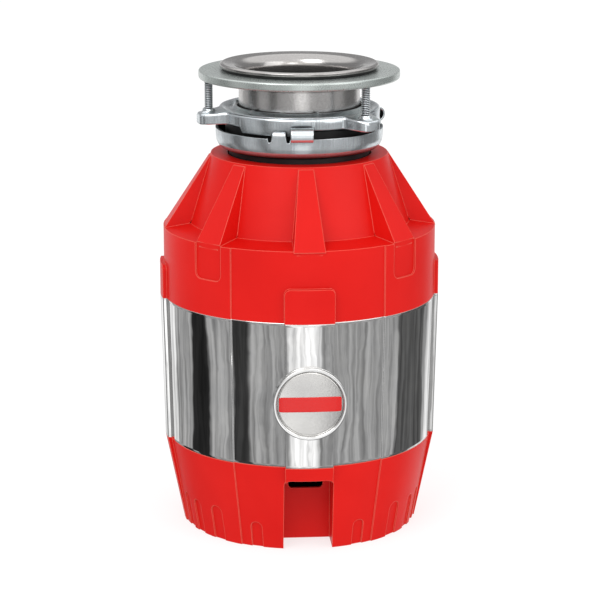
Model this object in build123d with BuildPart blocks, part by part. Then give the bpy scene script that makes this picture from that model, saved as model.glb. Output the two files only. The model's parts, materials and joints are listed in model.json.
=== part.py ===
from build123d import *
from math import atan2, cos, degrees, radians, sin
import os

os.makedirs("parts", exist_ok=True)

# Kitchen garbage disposal. Millimetres, +Z up, front towards -Y.
# The origin is on the vertical axis, at the height of the feet.

# ---- driving dimensions -------------------------------------------------------
base_height = 65.0          # lower shell, feet to shoulder
band_height = 105.5         # bright band
belt_height = 51.0          # vertical belt of the upper shell
cone_height = 52.5          # belt top to the mouth of the upper shell
ledge_rise = 3.0            # sloping ledge at the foot of the cone
clamp_gap = 22.3            # upper mounting ring to backup flange
ring_gap = 11.0             # lower mounting ring's edge to the upper ring's plate

wall = 2.5                  # moulded shells
grind_radius = 62.0         # bore of the shredder ring
ring_wall = 3.9             # shredder ring thickness
hopper_wall = 3.4
flange_reach = 7.5          # hopper and chamber flanges, beyond the hopper wall
shell_room = 18.4           # flange edge to the inside of the belt
side_step = 1.0             # side panels stand this proud of front and back
shoulder_draft = 2.3        # belt radius minus shoulder radius
foot_draft = 13.7           # belt radius minus foot radius
panel_edge = 33.3           # azimuth where the side panels start, degrees
lug_half = 10.0             # half width of a lug, degrees
lug_rise = 3.9
lug_rise_foot = 2.0
rib_count = 8
band_sheet = 1.2
lip_height = 6.0

can_radius = 68.0           # motor can outside
can_sheet = 3.0
bell_radius = 50.0          # lower end bell cup outside
shaft_radius = 7.5
journal_radius = shaft_radius - 1.5   # lower journal and turntable seat
neck_radius = 43.65         # sink flange neck outside
neck_sheet = 1.45
sink_rim_radius = 57.15     # standard 4 1/2 inch sink flange
screw_radius = 3.175        # quarter inch mounting screws
screw_count = 3
port_radius = 17.0          # discharge bore
port_wall = 3.0
nozzle_radius = 11.1        # dishwasher hose size, 7/8 inch
nozzle_wall = 2.0
gland_bore = 6.0

# ---- clearances ---------------------------------------------------------------
running = 0.05              # pin in its bore
slip = 0.3                  # pieces that move past each other
seat = 0.1                  # spigots and registers
press = 0.02                # bores on the shaft

# ---- stations and radii worked out from the above -------------------------------
shoulder = base_height
band_top = shoulder + band_height
belt_top = band_top + belt_height
cover_top = belt_top + cone_height
hopper_outer = grind_radius + ring_wall + 0.2 + hopper_wall
hopper_inner = hopper_outer - hopper_wall
flange_radius = hopper_outer + flange_reach
belt_inner = flange_radius + shell_room
belt_radius = belt_inner + wall
shoulder_radius = belt_radius - shoulder_draft
foot_radius = belt_radius - foot_draft
ledge_radius = flange_radius + 3.0
throat_radius = neck_radius - 2.15
hopper_neck_outer = neck_radius + 1.35
cushion_radius = hopper_neck_outer + 6.0
mouth_radius = cushion_radius + 1.0
cone_top_radius = hopper_outer - 5.5    # keeps the cone clear of the hopper's shoulder
wall_tilt = degrees(atan2(shoulder_radius - foot_radius, shoulder))

recess_half = 17.5
recess_top = shoulder - 10.0
recess_depth_y = bell_radius + 7.5 + wall
bell_flange_low = recess_top + wall + 1.0
can_low = bell_flange_low + 3.5
can_top = band_top + 1.5
can_inner = can_radius - can_sheet
bolt_circle = can_radius + 4.0
chamber_floor = can_top + 4.0
port_flange_radius = port_radius + 5.5
port_outer = port_radius + port_wall
port_height = band_top + port_flange_radius + 1.0
chamber_top = port_height + port_outer + 0.2
hopper_low = chamber_top + 0.8
hopper_flange_top = hopper_low + 4.0
spigot_top = hopper_low + 3.0
ring_height = 22.0
ring_top = spigot_top + ring_height
hopper_wall_top = ring_top + 4.0
neck_low = cover_top - 8.0
lug_outer = belt_radius + lug_rise
front_face = lug_outer + 2.8
nozzle_height = (hopper_wall_top + neck_low) / 2.0 - 5.0
nozzle_azimuth = 157.5
nozzle_end = belt_radius + 2.0
nozzle_collar = (ledge_radius + cone_top_radius) / 2.0 + 6.0

bowl_radius = cushion_radius + 9.5
bowl_sheet = 1.9
bowl_low = cover_top + 4.0
bowl_top = bowl_low + 15.0
plate_low = bowl_top + ring_gap
plate_top = plate_low + 2.0
backup_low = plate_top + clamp_gap
backup_top = backup_low + 5.9
gasket_top = backup_top + 2.8
sink_top = gasket_top + 2.3
neck_bottom = bowl_top + 3.0
backup_radius = sink_rim_radius + 15.25
screw_circle = bowl_radius + 6.2
first_screw = 40.0
first_hook = -18.0
first_sleeve = -2.5


def radial_plane(azimuth):
    """Upright plane through the axis: local x points outward at azimuth, local y up."""
    a = radians(azimuth)
    return Plane(origin=(0, 0, 0), x_dir=(sin(a), -cos(a), 0), z_dir=(-cos(a), -sin(a), 0))


def outward_plane(azimuth, radius, height, tilt=0.0):
    """Plane facing outward at azimuth: local x tangential, local y up, leaning out by tilt."""
    a = radians(azimuth)
    t = radians(tilt)
    facing = (sin(a) * cos(t), -cos(a) * cos(t), -sin(t))
    return Plane(origin=(radius * sin(a), -radius * cos(a), height),
                 x_dir=(cos(a), sin(a), 0), z_dir=facing)


def level_plane(azimuth, height):
    """Level plane on the axis, local x outward at azimuth."""
    a = radians(azimuth)
    return Plane(origin=(0, 0, height), x_dir=(sin(a), -cos(a), 0), z_dir=(0, 0, 1))


def turn(points, azimuth=0.0, arc=360.0, mode=Mode.ADD):
    """Revolve the closed outline of (radius, height) points, from azimuth over arc."""
    with BuildSketch(radial_plane(azimuth)) as outline:
        with BuildLine():
            Polyline(*points, close=True)
        make_face()
    revolve(outline.sketch, axis=Axis.Z, revolution_arc=arc, mode=mode)


def tube(inner, outer, low, high, azimuth=0.0, arc=360.0, mode=Mode.ADD):
    """Upright tube, or a sector of one."""
    turn([(inner, low), (outer, low), (outer, high), (inner, high)], azimuth, arc, mode)


def rod(plane, radius, length, x=0.0, y=0.0, mode=Mode.ADD):
    """Round rod standing on a plane at local x, y."""
    with BuildSketch(plane) as section:
        with Locations((x, y)):
            Circle(radius)
    extrude(section.sketch, amount=length, mode=mode)


def block(plane, width, depth, length, x=0.0, y=0.0, corner=0.0, mode=Mode.ADD):
    """Block standing on a plane, centred on local x, y, with rounded corners if asked."""
    with BuildSketch(plane) as section:
        with Locations((x, y)):
            if corner > 0:
                RectangleRounded(width, depth, corner)
            else:
                Rectangle(width, depth)
    extrude(section.sketch, amount=length, mode=mode)


def hexagon(plane, radius, length, x=0.0, y=0.0):
    """Hexagonal head or nut standing on a plane."""
    with BuildSketch(plane) as section:
        with Locations((x, y)):
            RegularPolygon(radius, 6)
    extrude(section.sketch, amount=length)


def stepped(low, high, low_radius, high_radius, lugs, inset=0.0, mode=Mode.ADD):
    """Round body with raised side panels and lugs, as one full solid, shrunk by inset."""
    lug_trim = degrees(inset / high_radius)
    lug_low = lug_rise_foot + (lug_rise - lug_rise_foot) * (low_radius - foot_radius) / foot_draft
    turn([(0, low), (low_radius - inset, low), (high_radius - inset, high), (0, high)], mode=mode)
    raised = side_step - inset
    for start in (panel_edge + lug_trim, 180 + panel_edge + lug_trim):
        turn([(0, low), (low_radius + raised, low), (high_radius + raised, high), (0, high)],
             start, 180 - 2 * (panel_edge + lug_trim), mode)
    for azimuth in lugs:
        turn([(0, low), (low_radius + lug_low - inset, low),
              (high_radius + lug_rise - inset, high), (0, high)],
             azimuth - lug_half + lug_trim, 2 * (lug_half - lug_trim), mode)


def rib_section(azimuth, height, inset):
    """Level rectangle of a cone rib at a height, from inside the wall to its outer face."""
    up = (height - belt_top) / (cone_height - 1.5)
    face = belt_radius + 0.1 + up * (cone_top_radius + 1.0 - belt_radius) - inset
    width = 22.0 - 11.4 * up - 2 * inset
    depth = 16.0
    with BuildSketch(level_plane(azimuth, height)) as section:
        with Locations((face - depth / 2, 0)):
            Rectangle(depth, width)
    return section.sketch


def cone_ribs(inset, low, high, mode):
    """All ribs of the cone, lofted between their lowest and highest sections."""
    for index in range(rib_count):
        azimuth = index * 360 / rib_count
        loft([rib_section(azimuth, low, inset), rib_section(azimuth, high, inset)], mode=mode)


def keep(piece, name):
    """Label a finished piece and write it to its own file."""
    piece.part.label = name
    export_step(piece.part, f"parts/{name}.step")


# ---- lower shell ----------------------------------------------------------------
recess_box = recess_half + wall
with BuildPart() as recess_housing:
    turn([(0, 0), (foot_radius, 0), (shoulder_radius, shoulder), (0, shoulder)])
    block(Plane.XY, 2 * recess_box, 60, recess_top + wall,
          y=-(recess_depth_y - wall) - 30, mode=Mode.INTERSECT)

lip_outer = shoulder_radius - band_sheet - slip
post_circle = can_radius - 6.0
post_azimuths = (60, 180, 300)
boss_circle = foot_radius - 10.0
boss_azimuths = (45, 135, 225, 315)
boss_low = 10.5
boss_top = 26.0
slot_width = 25.0
slot_height = 8.2
slot_middle = recess_top - 13.1
# foot grooves: azimuth, width, height; each repeats in all four quarters
grooves = ((25.0, 8.5, 20.0), (46.5, 10.5, 27.0), (61.0, 9.0, 26.0), (71.0, 9.0, 27.0))
groove_depth = 1.2

with BuildPart() as lower_shell:
    stepped(0, shoulder, foot_radius, shoulder_radius, (0, 90, 180, 270))
    turn([(0, -1), (foot_radius - wall, -1), (shoulder_radius - wall, shoulder + 1),
          (0, shoulder + 1)], mode=Mode.SUBTRACT)
    tube(lip_outer - wall, lip_outer, shoulder - 5, shoulder + lip_height)
    add(recess_housing.part)
    with BuildSketch(Plane.XZ.offset(recess_depth_y)) as recess_outline:
        with Locations((0, recess_top / 2 - 2.5)):
            Rectangle(2 * recess_half, recess_top + 5)
        fillet(recess_outline.vertices().group_by(Axis.Y)[-1], 4.5)
    extrude(recess_outline.sketch, amount=60, mode=Mode.SUBTRACT)
    block(Plane.XZ.offset(recess_depth_y - wall - 5), slot_width, slot_height, wall + 10,
          y=slot_middle, corner=3, mode=Mode.SUBTRACT)
    for azimuth, width, top in grooves:
        rise = side_step if azimuth > panel_edge else 0
        for place in (azimuth, -azimuth, 180 - azimuth, 180 + azimuth):
            face = outward_plane(place, foot_radius + rise - groove_depth, 0, wall_tilt)
            block(face, width, top + 10, 12, y=(top - 10) / 2, corner=width / 2.1,
                  mode=Mode.SUBTRACT)
    for azimuth in post_azimuths:
        rod(level_plane(azimuth, 40), 4.5, bell_flange_low - 40, x=post_circle)
        block(level_plane(azimuth, 46), 26, wall, bell_flange_low - 47, x=post_circle + 15)
        rod(level_plane(azimuth, 39), 2.0, 30, x=post_circle, mode=Mode.SUBTRACT)
    for azimuth in boss_azimuths:
        rod(level_plane(azimuth, boss_low), 4.5, boss_top - boss_low, x=boss_circle)
        block(level_plane(azimuth, boss_low + 2), 9, wall, boss_top - boss_low - 3,
              x=boss_circle + 6)
        rod(level_plane(azimuth, boss_low - 1), 1.7, 14, x=boss_circle, mode=Mode.SUBTRACT)
keep(lower_shell, "lower_shell")

# ---- bright band ------------------------------------------------------------------
band_top_radius = belt_radius + 0.1
with BuildPart() as chrome_band:
    stepped(shoulder, band_top, shoulder_radius, band_top_radius, (0, 90, 180, 270))
    stepped(shoulder - 0.01, band_top + 0.01, shoulder_radius, band_top_radius,
            (0, 90, 180, 270), inset=band_sheet, mode=Mode.SUBTRACT)
keep(chrome_band, "chrome_band")

# ---- badge --------------------------------------------------------------------------
badge_radius = 26.0
badge_height = shoulder + 0.46 * band_height
dish_radius = badge_radius - 2.6
dish_face = front_face - 1.4
with BuildPart() as badge:
    rod(Plane.XZ.offset(belt_radius - 14), badge_radius, front_face - belt_radius + 14,
        y=badge_height)
    fillet(badge.edges().filter_by(GeomType.CIRCLE).sort_by(Axis.Y)[0], 1.0)
    rod(Plane.XZ.offset(dish_face), dish_radius, 5, y=badge_height, mode=Mode.SUBTRACT)
    stepped(shoulder, band_top, shoulder_radius, band_top_radius, (0,), mode=Mode.SUBTRACT)
keep(badge, "badge")

with BuildPart() as badge_face:
    rod(Plane.XZ.offset(dish_face), dish_radius - seat, 0.6, y=badge_height)
keep(badge_face, "badge_face")

with BuildPart() as badge_bar:
    block(Plane.XZ.offset(dish_face + 0.6), 44, 10.8, 0.4, y=badge_height)
keep(badge_bar, "badge_bar")

# ---- upper shell --------------------------------------------------------------------
lug_pad_top = band_top + 24.5
with BuildPart() as lug_pads:
    for azimuth in (0, 90, 270):
        with BuildSketch(outward_plane(azimuth, belt_radius - 8, 0)) as pad_outline:
            with Locations((0, (band_top + lug_pad_top) / 2)):
                Rectangle(2 * lug_outer * sin(radians(lug_half)), lug_pad_top - band_top)
            fillet(pad_outline.vertices().group_by(Axis.Y)[-1], 4)
        extrude(pad_outline.sketch, amount=20)
    tube(0, lug_outer, band_top, lug_pad_top, mode=Mode.INTERSECT)

pocket_top = belt_top + 0.5
pocket_low = band_top + belt_height / 2
with BuildPart() as rib_pockets:
    for azimuth in (45, 135, 225, 315):
        with BuildSketch(outward_plane(azimuth, belt_radius - 12, 0)) as pocket_outline:
            with Locations((0, (pocket_low + pocket_top) / 2)):
                Rectangle(24, pocket_top - pocket_low)
            fillet(pocket_outline.vertices().group_by(Axis.Y)[0], 5)
        extrude(pocket_outline.sketch, amount=20)
    tube(0, belt_radius + side_step - groove_depth, band_top, belt_top + 2, mode=Mode.SUBTRACT)

rib_top = cover_top - 1.5
with BuildPart() as upper_shell:
    stepped(band_top, belt_top, belt_radius, belt_radius, ())
    turn([(0, belt_top), (belt_radius, belt_top), (ledge_radius, belt_top + ledge_rise),
          (cone_top_radius, cover_top), (0, cover_top)])
    add(lug_pads.part)
    cone_ribs(0, belt_top - 1, rib_top, Mode.ADD)
    add(rib_pockets.part, mode=Mode.SUBTRACT)
    turn([(0, band_top - 1), (belt_inner, band_top - 1), (belt_inner, belt_top - wall),
          (ledge_radius - wall, belt_top + ledge_rise - wall),
          (cone_top_radius - wall, cover_top - wall), (0, cover_top - wall)], mode=Mode.SUBTRACT)
    cone_ribs(wall, belt_top - wall - 0.5, rib_top - wall, Mode.SUBTRACT)
    tube(0, mouth_radius, cover_top - 10, cover_top + 1, mode=Mode.SUBTRACT)
    tube(belt_inner - 1.5, belt_radius - band_sheet - slip - 0.1, band_top - lip_height,
         band_top + wall)
    block(outward_plane(180, can_radius, port_height), 2 * port_outer + 1.6,
          2 * port_outer + 1.6, 60, corner=4, mode=Mode.SUBTRACT)
    rod(outward_plane(nozzle_azimuth, mouth_radius, nozzle_height), nozzle_radius + 0.9, 60,
        mode=Mode.SUBTRACT)
keep(upper_shell, "upper_shell")

# ---- foam sleeve between the motor and the band ----------------------------------------
liner_low = shoulder + 11
liner_top = band_top - 12
with BuildPart() as acoustic_liner:
    turn([(can_radius + 14, liner_low), (shoulder_radius - band_sheet - slip, liner_low),
          (shoulder_radius - band_sheet + 1.2, liner_top), (can_radius + 14, liner_top)])
keep(acoustic_liner, "acoustic_liner")

# ---- hopper: the upper grind chamber -----------------------------------------------------
hopper_neck_top = bowl_top - 9.0
hopper_screw_circle = hopper_outer + 4.0
hopper_screw_count = 6
with BuildPart() as hopper:
    rod(outward_plane(nozzle_azimuth, throat_radius, nozzle_height), nozzle_radius + 0.6,
        nozzle_collar - throat_radius)
    rod(outward_plane(nozzle_azimuth, nozzle_collar - 1, nozzle_height), nozzle_radius,
        nozzle_end - nozzle_collar + 1)
    turn([(0, hopper_low), (flange_radius, hopper_low), (flange_radius, hopper_flange_top),
          (hopper_outer, hopper_flange_top), (hopper_outer, hopper_wall_top),
          (hopper_neck_outer, neck_low), (hopper_neck_outer, hopper_neck_top),
          (0, hopper_neck_top)])
    turn([(0, hopper_low - 1), (hopper_inner, hopper_low - 1), (hopper_inner, hopper_wall_top),
          (throat_radius, neck_low), (throat_radius, hopper_neck_top + 1),
          (0, hopper_neck_top + 1)], mode=Mode.SUBTRACT)
    rod(outward_plane(nozzle_azimuth, hopper_outer + 2.5, nozzle_height),
        nozzle_radius - nozzle_wall, 60, mode=Mode.SUBTRACT)
    with PolarLocations(hopper_screw_circle, hopper_screw_count):
        with Locations((0, 0, hopper_low)):
            Cylinder(2.6, 20, mode=Mode.SUBTRACT)
keep(hopper, "hopper")

with BuildPart() as hopper_gasket:
    tube(hopper_inner, flange_radius, chamber_top, hopper_low)
    with PolarLocations(hopper_screw_circle, hopper_screw_count):
        with Locations((0, 0, hopper_low)):
            Cylinder(2.6, 10, mode=Mode.SUBTRACT)
keep(hopper_gasket, "hopper_gasket")

with BuildPart() as hopper_screws:
    for index in range(hopper_screw_count):
        level = level_plane(90 + index * 360 / hopper_screw_count, chamber_top - 7)
        rod(level, 2.2, hopper_flange_top - chamber_top + 7, x=hopper_screw_circle)
        head = level.offset(hopper_flange_top - chamber_top + 7)
        rod(head, 3.5, 3, x=hopper_screw_circle)
        block(head.offset(1.8), 5, 1, 3, x=hopper_screw_circle, mode=Mode.SUBTRACT)
keep(hopper_screws, "hopper_screws")

# ---- drain chamber: lower grind chamber, upper end frame and discharge port ----------------
bearing_outer = shaft_radius + 10.0
bearing_low = can_top - 13.0
bearing_width = 11.0
bolt_azimuths = (45, 135, 225, 315)
seal_radius = shaft_radius + 5.5
port_bolt_spacing = 56.0
with BuildPart() as drain_chamber:
    rod(outward_plane(180, grind_radius - 2, port_height), port_outer,
        front_face - grind_radius)
    tube(grind_radius, grind_radius + 3.5, can_top, spigot_top)
    tube(0, can_radius + 1, can_top, chamber_floor)
    tube(grind_radius, flange_radius, chamber_top - 4, chamber_top)
    tube(can_inner - 5, can_inner - seat, can_top - 4, can_top)
    tube(0, bearing_outer + 4.5, bearing_low - 1, can_top)
    tube(0, seal_radius + 3, chamber_floor, chamber_floor + 8)
    for azimuth in bolt_azimuths:
        block(level_plane(azimuth, can_top), 14, 12, 4, x=bolt_circle - 2, corner=3)
        rod(level_plane(azimuth, can_top - 1), 2.6, 6, x=bolt_circle, mode=Mode.SUBTRACT)
    with BuildSketch(outward_plane(180, front_face - 5, port_height)) as port_flange:
        Circle(port_flange_radius)
        with GridLocations(port_bolt_spacing, 0, 2, 1):
            Circle(7)
        make_hull()
    extrude(port_flange.sketch, amount=5)
    tube(seal_radius + 3, grind_radius, chamber_floor, spigot_top + 5, mode=Mode.SUBTRACT)
    rod(outward_plane(180, grind_radius - 10, port_height), port_radius, 80, mode=Mode.SUBTRACT)
    for side in (-1, 1):
        rod(outward_plane(180, front_face - 10, port_height), 2.6, 20,
            x=side * port_bolt_spacing / 2, mode=Mode.SUBTRACT)
    tube(0, bearing_outer + press, bearing_low - 2, bearing_low + bearing_width,
         mode=Mode.SUBTRACT)
    tube(0, shaft_radius + 1.5, bearing_low, chamber_floor + 1, mode=Mode.SUBTRACT)
    tube(0, seal_radius + press, chamber_floor, chamber_floor + 9, mode=Mode.SUBTRACT)
    for index in range(hopper_screw_count):
        rod(level_plane(90 + index * 360 / hopper_screw_count, chamber_top - 8), 2.22, 20,
            x=hopper_screw_circle, mode=Mode.SUBTRACT)
keep(drain_chamber, "drain_chamber")

with BuildPart() as shaft_seal:
    tube(shaft_radius + 0.08, seal_radius, chamber_floor, chamber_floor + 7)
    tube(shaft_radius + 2, seal_radius - 2, chamber_floor - 1, chamber_floor + 3,
         mode=Mode.SUBTRACT)
keep(shaft_seal, "shaft_seal")

# ---- shredder ring, turntable, impellers -------------------------------------------------
shredder_slots = 24
with BuildPart() as shredder_ring:
    tube(grind_radius, grind_radius + ring_wall, spigot_top, ring_top)
    for index in range(shredder_slots):
        level = level_plane(index * 360 / shredder_slots, spigot_top - 1)
        block(level, 4, 3, 13, x=grind_radius, mode=Mode.SUBTRACT)
keep(shredder_ring, "shredder_ring")

table_low = spigot_top + 0.2
table_top = table_low + 2.8
hub_low = table_low - 13.0
pivot_radius = grind_radius - 22.0
pin_radius = 3.5
with BuildPart() as turntable:
    tube(journal_radius + press, grind_radius - 0.7, table_low, table_top)
    tube(journal_radius + press, 14, hub_low, table_low)
    for index in range(10):
        rod(level_plane(18 + index * 36, table_low - 1), 3, 5, x=grind_radius - 10,
            mode=Mode.SUBTRACT)
    for azimuth in (90, 270):
        rod(level_plane(azimuth, table_low - 1), pin_radius + press, 5, x=pivot_radius,
            mode=Mode.SUBTRACT)
keep(turntable, "turntable")

impeller_low = table_top + slip
impeller_base = 3.7
impeller_tip = 15.0
for number, azimuth in ((1, 90), (2, 270)):
    with BuildPart() as impeller:
        with BuildSketch(level_plane(azimuth, impeller_low)) as base_outline:
            with Locations((pivot_radius, 0)):
                Circle(8)
            with Locations((pivot_radius + impeller_tip, 0)):
                Circle(6)
            make_hull()
        extrude(base_outline.sketch, amount=impeller_base)
        upstand = level_plane(azimuth, impeller_low + impeller_base)
        rod(upstand, 5, 11, x=pivot_radius + impeller_tip)
        rod(level_plane(azimuth, impeller_low - 1), pin_radius + running, 8, x=pivot_radius,
            mode=Mode.SUBTRACT)
    keep(impeller, f"impeller_{number}")

pin_head = impeller_low + impeller_base + slip
with BuildPart() as impeller_pins:
    for azimuth in (90, 270):
        rod(level_plane(azimuth, table_low - 3), pin_radius, pin_head - table_low + 3,
            x=pivot_radius)
        rod(level_plane(azimuth, table_low - 3), 6, 3, x=pivot_radius)
        rod(level_plane(azimuth, pin_head), 6.5, 2.7, x=pivot_radius)
keep(impeller_pins, "impeller_pins")

with BuildPart() as turntable_nut:
    hexagon(Plane.XY.offset(table_top), 11, 8)
    tube(0, journal_radius + press, table_top - 1, table_top + 9, mode=Mode.SUBTRACT)
keep(turntable_nut, "turntable_nut")

with BuildPart() as slinger:
    turn([(shaft_radius + press, chamber_floor + 11), (20, chamber_floor + 11),
          (20, chamber_floor + 4), (21.5, chamber_floor + 4), (21.5, chamber_floor + 13),
          (12, chamber_floor + 13), (12, chamber_floor + 18),
          (shaft_radius + press, chamber_floor + 18)])
keep(slinger, "slinger")

# ---- shaft and bearings ---------------------------------------------------------------------
bell_low = can_low - 22.0
lower_bearing_low = bell_low + 3.0
lower_bearing_width = 10.0
lower_bearing_outer = journal_radius + 10.0
with BuildPart() as motor_shaft:
    turn([(0, lower_bearing_low - 0.5), (journal_radius, lower_bearing_low - 0.5),
          (journal_radius, lower_bearing_low + lower_bearing_width + 0.5),
          (shaft_radius, lower_bearing_low + lower_bearing_width + 0.5),
          (shaft_radius, hub_low), (journal_radius, hub_low), (journal_radius, table_top + 10),
          (0, table_top + 10)])
keep(motor_shaft, "motor_shaft")


def bearing(name, bore, outer, low, width, ball_radius, ball_count):
    """Deep groove ball bearing in three nodes: outer race, balls and inner race."""
    middle = (bore + outer) / 2
    race = (outer - bore) / 2 - 0.7 * ball_radius
    height = low + width / 2
    groove = Solid.make_torus(middle, ball_radius + 0.1, Plane.XY.offset(height))
    with BuildPart() as outer_race:
        tube(outer - race, outer, low, low + width)
        add(groove, mode=Mode.SUBTRACT)
    keep(outer_race, f"{name}_outer_race")
    with BuildPart() as inner_race:
        tube(bore + press, bore + race, low, low + width)
        add(groove, mode=Mode.SUBTRACT)
    keep(inner_race, f"{name}_inner_race")
    with BuildPart() as balls:
        with PolarLocations(middle, ball_count):
            with Locations((0, 0, height)):
                Sphere(ball_radius)
    keep(balls, f"{name}_balls")


bearing("upper_bearing", shaft_radius, bearing_outer, bearing_low, bearing_width, 3.0, 8)
bearing("lower_bearing", journal_radius, lower_bearing_outer, lower_bearing_low,
        lower_bearing_width, 2.8, 8)

# ---- motor ---------------------------------------------------------------------------------
with BuildPart() as motor_can:
    tube(can_inner, can_radius, can_low, can_top)
keep(motor_can, "motor_can")

magnet_inner = can_inner - 7.5
core_radius = magnet_inner - 1.5
core_low = can_low + 26
core_top = can_top - 24
with BuildPart() as field_magnets:
    for index in range(4):
        tube(magnet_inner, can_inner - seat, core_low - 4, core_top + 2, index * 90 + 10, 70)
keep(field_magnets, "field_magnets")

slot_count = 12
slot_depth = 12.0
with BuildPart() as rotor_core:
    tube(shaft_radius + press, core_radius, core_low, core_top)
    for index in range(slot_count):
        level = level_plane(index * 360 / slot_count, core_low - 1)
        block(level, slot_depth, 6, core_top - core_low + 2, x=core_radius - slot_depth / 2 - 1.5,
              mode=Mode.SUBTRACT)
        block(level, 6, 2.4, core_top - core_low + 2, x=core_radius, mode=Mode.SUBTRACT)
keep(rotor_core, "rotor_core")

with BuildPart() as rotor_windings:
    tube(24, core_radius - 3, core_top, core_top + 8)
    tube(22, core_radius - 3, core_low - 8, core_low)
    for index in range(slot_count):
        level = level_plane(index * 360 / slot_count, core_low - 1)
        block(level, slot_depth - 1.5, 5.6, core_top - core_low + 2,
              x=core_radius - slot_depth / 2 - 1.5)
keep(rotor_windings, "rotor_windings")

commutator_low = can_low + 2
commutator_radius = shaft_radius + 8.5
commutator_top = commutator_low + 14
with BuildPart() as commutator:
    tube(shaft_radius + press, commutator_radius, commutator_low, commutator_top)
    tube(shaft_radius + press, commutator_radius + 3, commutator_top, commutator_top + 2)
    for index in range(24):
        level = level_plane(index * 15, commutator_low - 1)
        block(level, 2, 0.8, 14, x=commutator_radius, mode=Mode.SUBTRACT)
keep(commutator, "commutator")

with BuildPart() as lower_end_bell:
    tube(bell_radius - 3, can_radius, bell_flange_low, can_low)
    tube(bell_radius - 3, bell_radius, bell_low, bell_flange_low)
    tube(journal_radius + 2, bell_radius, bell_low, lower_bearing_low)
    tube(lower_bearing_outer, lower_bearing_outer + 3, bell_low, lower_bearing_low + 11)
    tube(can_inner - 5, can_inner - seat, can_low, can_low + 4)
    for azimuth in bolt_azimuths:
        block(level_plane(azimuth, bell_flange_low), 14, 12, can_low - bell_flange_low,
              x=bolt_circle - 2, corner=3)
        rod(level_plane(azimuth, bell_flange_low - 1), 2.6, 6, x=bolt_circle, mode=Mode.SUBTRACT)
    for azimuth in post_azimuths:
        rod(level_plane(azimuth, bell_flange_low - 1), 1.92, 6, x=post_circle, mode=Mode.SUBTRACT)
    for index in range(6):
        level = level_plane(30 + index * 60, bell_low - 1)
        block(level, 14, 8, 5, x=34, corner=3, mode=Mode.SUBTRACT)
keep(lower_end_bell, "lower_end_bell")

brush_length = 15.0
holder_plate = 2.5
brush_middle = commutator_low + 7.5
holder_inner = commutator_radius + 4
holder_outer = commutator_radius + 27
with BuildPart() as brush_holders:
    tube(21, can_inner - 7, can_low, can_low + holder_plate)
    for side in (90, 270):
        face = outward_plane(side, holder_inner, brush_middle)
        block(face, 18, 13, holder_outer - holder_inner)
        block(face, 14, 10, holder_outer - holder_inner - 2, mode=Mode.SUBTRACT)
keep(brush_holders, "brush_holders")

with BuildPart() as carbon_brushes:
    for side in (90, 270):
        face = outward_plane(side, commutator_radius + slip, brush_middle)
        block(face, 13.6, 9.6, brush_length)
keep(carbon_brushes, "carbon_brushes")

spring_start = commutator_radius + slip + brush_length
spring_length = holder_outer - 2 - spring_start
with BuildPart() as brush_springs:
    for side in (90, 270):
        behind = outward_plane(side, spring_start + 0.6, brush_middle)
        with BuildLine() as coil:
            Helix(2.2, spring_length - 1.2, 3.2, center=behind.origin, direction=behind.z_dir)
        with BuildSketch(Plane(origin=coil.line @ 0, z_dir=coil.line % 0)) as wire:
            Circle(0.5)
        sweep(wire.sketch, path=coil.line)
keep(brush_springs, "brush_springs")

with BuildPart() as rectifier:
    block(Plane.XY.offset(can_low + holder_plate), 24, 18, 9, y=38)
    block(Plane.XY.offset(can_low + holder_plate), 2, 12, 12, x=7, y=38)
    block(Plane.XY.offset(can_low + holder_plate), 2, 12, 12, x=-7, y=38)
keep(rectifier, "rectifier")

with BuildPart() as through_bolts:
    for azimuth in bolt_azimuths:
        rod(level_plane(azimuth, bell_flange_low - 6), 2.4, chamber_floor - bell_flange_low + 6,
            x=bolt_circle)
        hexagon(level_plane(azimuth, chamber_floor), 4.5, 4, x=bolt_circle)
        hexagon(level_plane(azimuth, bell_flange_low - 4), 4.5, 4, x=bolt_circle)
keep(through_bolts, "through_bolts")

with BuildPart() as shell_screws:
    for azimuth in post_azimuths:
        rod(level_plane(azimuth, 40), 1.9, bell_flange_low - 37.5, x=post_circle)
        rod(level_plane(azimuth, 37), 4, 3, x=post_circle)
        block(level_plane(azimuth, 36), 5.5, 1, 2, x=post_circle, mode=Mode.SUBTRACT)
keep(shell_screws, "shell_screws")

# ---- underside -------------------------------------------------------------------------------
cover_low = 8.0
button_place = (32.0, 24.0)
gland_place = (-32.0, 24.0)
ground_place = (-30.0, -18.0)
button_radius = 5.0
protector_neck = 7.0
with BuildPart() as bottom_cover:
    tube(0, foot_radius - wall + 0.9, cover_low, boss_low)
    block(Plane.XY.offset(cover_low - 1), 2 * recess_box + 2 * slip, 60, 5,
          y=-(recess_depth_y - wall) - 30 + slip, mode=Mode.SUBTRACT)
    rod(Plane.XY.offset(cover_low - 1), protector_neck + seat, 5, *button_place,
        mode=Mode.SUBTRACT)
    rod(Plane.XY.offset(cover_low - 1), gland_bore + 2.5 + seat, 5, *gland_place,
        mode=Mode.SUBTRACT)
    rod(Plane.XY.offset(cover_low - 1), 2.1, 5, *ground_place, mode=Mode.SUBTRACT)
    for azimuth in boss_azimuths:
        rod(level_plane(azimuth, cover_low - 1), 2.0, 5, x=boss_circle, mode=Mode.SUBTRACT)
    for index in range(5):
        block(Plane.XY.offset(cover_low - 1), 40, 3, 5, y=-34 + 6 * index, corner=1.4,
              mode=Mode.SUBTRACT)
keep(bottom_cover, "bottom_cover")

with BuildPart() as cover_screws:
    for azimuth in boss_azimuths:
        rod(level_plane(azimuth, cover_low), 1.65, 14, x=boss_circle)
        rod(level_plane(azimuth, cover_low - 2.5), 3.8, 2.5, x=boss_circle)
        block(level_plane(azimuth, cover_low - 3), 5.5, 1, 1.5, x=boss_circle,
              mode=Mode.SUBTRACT)
keep(cover_screws, "cover_screws")

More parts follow.
